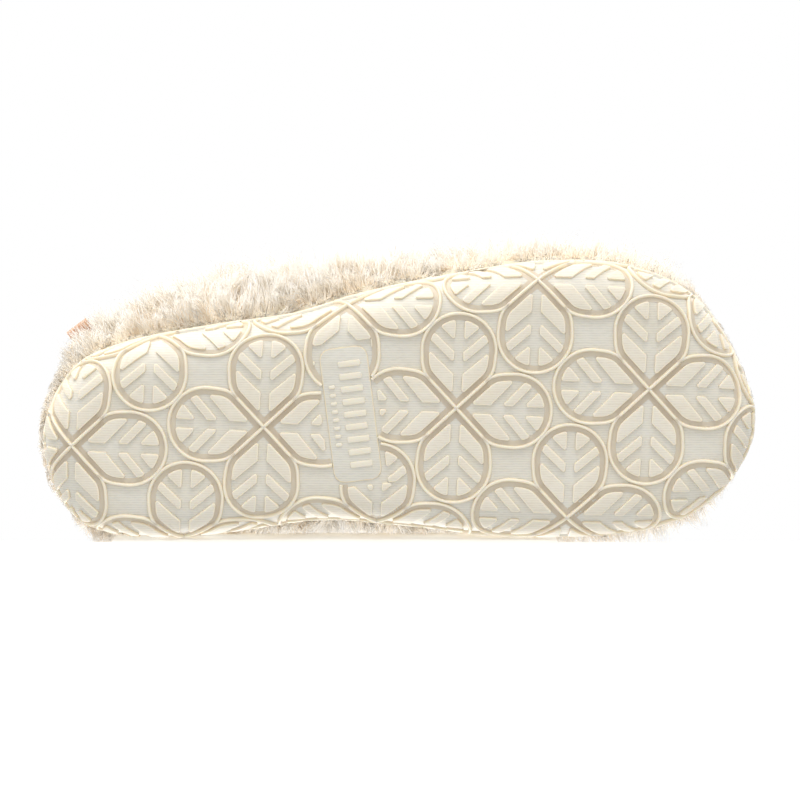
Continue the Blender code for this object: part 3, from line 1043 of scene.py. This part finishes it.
def makeFur(name, node, fur, material, seed):
    backing = backingOf(node, fur)
    points, faces, along, tint = growStrands(node, fur, seed)
    basePoints = np.array([v.co for v in backing.data.vertices])
    baseFaces = [tuple(p.vertices) for p in backing.data.polygons]
    shift = len(basePoints)
    obj = meshObject(name, np.concatenate([basePoints, points * mm]),
                     baseFaces + [tuple(face) for face in (faces + shift).tolist()], [material])
    # the backing takes the roots' colour, painted shade under the pile
    storeValues(obj.data, "along", np.concatenate([np.full(shift, 0.0), along]))
    storeValues(obj.data, "tuft", np.concatenate([np.full(shift, 0.3), tint]))
    obj.data.shade_smooth()
    bpy.data.objects.remove(backing)
    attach(obj, "root")
    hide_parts(node)
    print(name + ":", len(obj.data.polygons), "faces")


panelFur = {
    # lengths in mm; side is the side of the CAD solid that the pile stands on
    "side": "outer",
    "strands": 22000,
    "width": 0.50,
    "segments": 4,
    "length": 11.5,
    "sunk": 5.2,               # roots below the CAD solid's skin
    "backing": 3.0,            # how far the fabric is drawn in
    "smooth": 2,
    "tuftSize": 4.4,
    "lean": 0.34,
    "stray": 0.26,
    "gather": 0.82,            # how much of a strand joins its tuft
    "wild": 0.12,              # share of strands that hardly do
    "curl": 1.3,
    "curlTurns": 0.7,
    "comb": (0, 0, -0.10),
    "fuller": 0.25,
    "floor": 19.0,
    "overSole": 1.0,
}
quarterFur = dict(panelFur, strands=11000)
cuffFur = dict(panelFur, strands=20000, tuftSize=4.8, length=9.5, sunk=3.2, backing=1.4, lean=0.36,
               curl=1.6, curlTurns=1.0, comb=(0, 0, 0.0), smooth=1, fuller=0.4)
heelFleece = dict(panelFur, side="inner", strands=4500, tuftSize=3.4, length=3.6, sunk=0.6, backing=0.3,
                  width=0.8, segments=3, lean=0.4, stray=0.5, curl=0.7, comb=(0, 0, 0), smooth=1, fuller=0.0)
vampFleece = dict(heelFleece, strands=4000)
soleFleece = dict(heelFleece, side="top", strands=9000, length=4.6, width=1.1, lean=1.0, stray=1.0, curl=1.0)

# acrylic faux fur with a long straight pile: near-white tips over a cream root, the root's deeper cream
# being painted shade
longFur = shadeFur("cream acrylic long pile",
                   [(0.0, "#fdf0d8"), (0.3, "#fef5e3"), (0.7, "#fef9ee"), (1.0, "#fffcf5")], "#fbedd6", 0.3)
# the cuff's fur, tumbled so that it curls, and more peach, deeper towards the root as painted shade
curlyFur = shadeFur("peach acrylic curly pile",
                    [(0.0, "#fce9ca"), (0.3, "#fdf0d9"), (0.7, "#fef6e8"), (1.0, "#fffaf1")], "#fbe8cb", 0.3)
# brushed fleece lining: short, matt and even, deeper towards the root as painted shade
shortFleece = shadeFur("cream polyester fleece",
                       [(0.0, "#fbf0dc"), (0.5, "#fef7ea"), (1.0, "#fffcf6")], "#fdf5e8", 0.2)

makeFur("vampFur", "vamp_fur", panelFur, longFur, 11)
makeFur("outerQuarterFur", "quarter_fur_lateral", quarterFur, longFur, 21)
makeFur("innerQuarterFur", "quarter_fur_medial", quarterFur, longFur, 31)
makeFur("cuffFur", "collar_cuff_fur", cuffFur, curlyFur, 41)
makeFur("vampLiningFleece", "vamp_lining", vampFleece, shortFleece, 51)
makeFur("heelLiningFleece", "heel_lining", heelFleece, shortFleece, 61)
makeFur("footbedFleece", "footbed_fleece", soleFleece, shortFleece, 71)


# Inner pieces and the label, which keep the frame's own shapes

def memoryFoam():
    # polyurethane foam: dull yellow-white with pores about 0.5 mm across
    material, tree, shader = newMaterial("open-cell memory foam")
    place = addNode(tree, "ShaderNodeTexCoord").outputs["Object"]
    pores = addNode(tree, "ShaderNodeTexVoronoi", {"Scale": grainScale(0.53)}, {"Vector": place})
    tone = colourBand(tree, pores.outputs["Distance"], [(0.0, "#d8cca6"), (0.5, "#efe6c8")])
    finish(tree, shader, tone, 0.95, pores.outputs["Distance"], 0.6, 0.0003)
    return material


def evaFoam():
    # compression-moulded EVA: white, with pebbles about 1 mm across
    material, tree, shader = newMaterial("closed-cell EVA foam")
    place = addNode(tree, "ShaderNodeTexCoord").outputs["Object"]
    skin = addNode(tree, "ShaderNodeTexNoise", {"Scale": grainScale(1.11), "Detail": 4.0},
                   {"Vector": place})
    tone = colourBand(tree, skin.outputs["Fac"], [(0.3, "#e9e7e0"), (0.7, "#f5f3ee")])
    finish(tree, shader, tone, 0.7, skin.outputs["Fac"], 0.3, 0.0002)
    return material


def fibreBoard():
    # cellulose strobel board: tan, with pressed fibres up to a few millimetres long
    material, tree, shader = newMaterial("needled fibre board")
    place = addNode(tree, "ShaderNodeTexCoord").outputs["Object"]
    drawn = addNode(tree, "ShaderNodeMapping", {"Scale": (1.0, 0.15, 1.0)}, {"Vector": place})
    fibre = addNode(tree, "ShaderNodeTexNoise", {"Scale": grainScale(0.714), "Detail": 5.0},
                    {"Vector": drawn.outputs[0]})
    tone = colourBand(tree, fibre.outputs["Fac"], [(0.3, "#b7a587"), (0.7, "#d8caae")])
    finish(tree, shader, tone, 0.9)
    return material


def stiffenerSheet():
    # calendered sheet with a faint cloth face, its threads drawn 0.8 mm wide
    material, tree, shader = newMaterial("thermoplastic stiffener sheet")
    place = addNode(tree, "ShaderNodeTexCoord").outputs["Object"]
    cloth = addNode(tree, "ShaderNodeTexNoise", {"Scale": grainScale(0.833), "Detail": 2.0},
                    {"Vector": place})
    tone = colourBand(tree, cloth.outputs["Fac"], [(0.3, "#cfccc2"), (0.7, "#dfdcd3")])
    finish(tree, shader, tone, 0.6)
    return material


def cottonTape():
    # plain weave, threads 0.5 mm apart
    material, tree, shader = newMaterial("woven cotton tape")
    place = addNode(tree, "ShaderNodeTexCoord").outputs["Object"]
    warp, weft = (addNode(tree, "ShaderNodeTexWave", {"bands_direction": way, "Scale": bandScale(0.5)},
                          {"Vector": place}) for way in "ZY")
    both = addNode(tree, "ShaderNodeMath", {"operation": "MULTIPLY"},
                   {0: warp.outputs["Fac"], 1: weft.outputs["Fac"]})
    tone = colourBand(tree, both.outputs[0], [(0.0, "#cbbfa6"), (1.0, "#e8dfca")])
    finish(tree, shader, tone, 0.85)
    return material


def sewingThread():
    # two-ply sewing thread, its twist about 0.7 mm long, as diagonal bands come out 1.15 times as wide
    material, tree, shader = newMaterial("twisted polyester thread")
    place = addNode(tree, "ShaderNodeTexCoord").outputs["Object"]
    twist = addNode(tree, "ShaderNodeTexWave",
                    {"bands_direction": "DIAGONAL", "Scale": bandScale(0.6)}, {"Vector": place})
    tone = colourBand(tree, twist.outputs["Fac"], [(0.0, "#c7ab80"), (1.0, "#e6d3b0")])
    finish(tree, shader, tone, 0.6)
    return material


def satinRibbon():
    # damask ribbon: copper and tan threads 0.45 mm apart, satin across the fold
    material, tree, shader = newMaterial("woven copper satin ribbon")
    place = addNode(tree, "ShaderNodeTexCoord").outputs["Object"]
    warp = addNode(tree, "ShaderNodeTexWave",
                   {"bands_direction": "Y", "Scale": bandScale(0.449), "Distortion": 0.6}, {"Vector": place})
    fleck = addNode(tree, "ShaderNodeTexNoise", {"Scale": grainScale(1.43), "Detail": 2.0},
                    {"Vector": place})
    tone = colourBand(tree, warp.outputs["Fac"], [(0.0, "#c98d64"), (1.0, "#efd6bd")])
    spots = colourBand(tree, fleck.outputs["Fac"], [(0.4, "#e6c8ab"), (0.62, "#ffffff")])
    flecked = multiplied(tree, tone, spots, 0.8)
    finish(tree, shader, flecked, 0.45, warp.outputs["Fac"], 0.5, 0.0002)
    shader.inputs["Sheen Weight"].default_value = 0.3
    return material


finishes = (
    (memoryFoam, ("footbed_foam", "vamp_padding", "quarter_padding_lateral", "quarter_padding_medial",
                  "collar_foam_roll")),
    (evaFoam, ("midsole_foam",)),
    (fibreBoard, ("strobel_board",)),
    (stiffenerSheet, ("toe_puff", "heel_counter")),
    (cottonTape, ("seam_tape_lateral", "seam_tape_medial", "back_seam_tape")),
    (sewingThread, ("strobel_stitching", "collar_stitching", "label_bartack")),
    (satinRibbon, ("label_tab",)),
)
for makeFinish, names in finishes:
    material = makeFinish()
    for name in names:
        nodes[name].data.materials.clear()
        nodes[name].data.materials.append(material)
print("finishes on the inner pieces and the label")

print("slipper done")
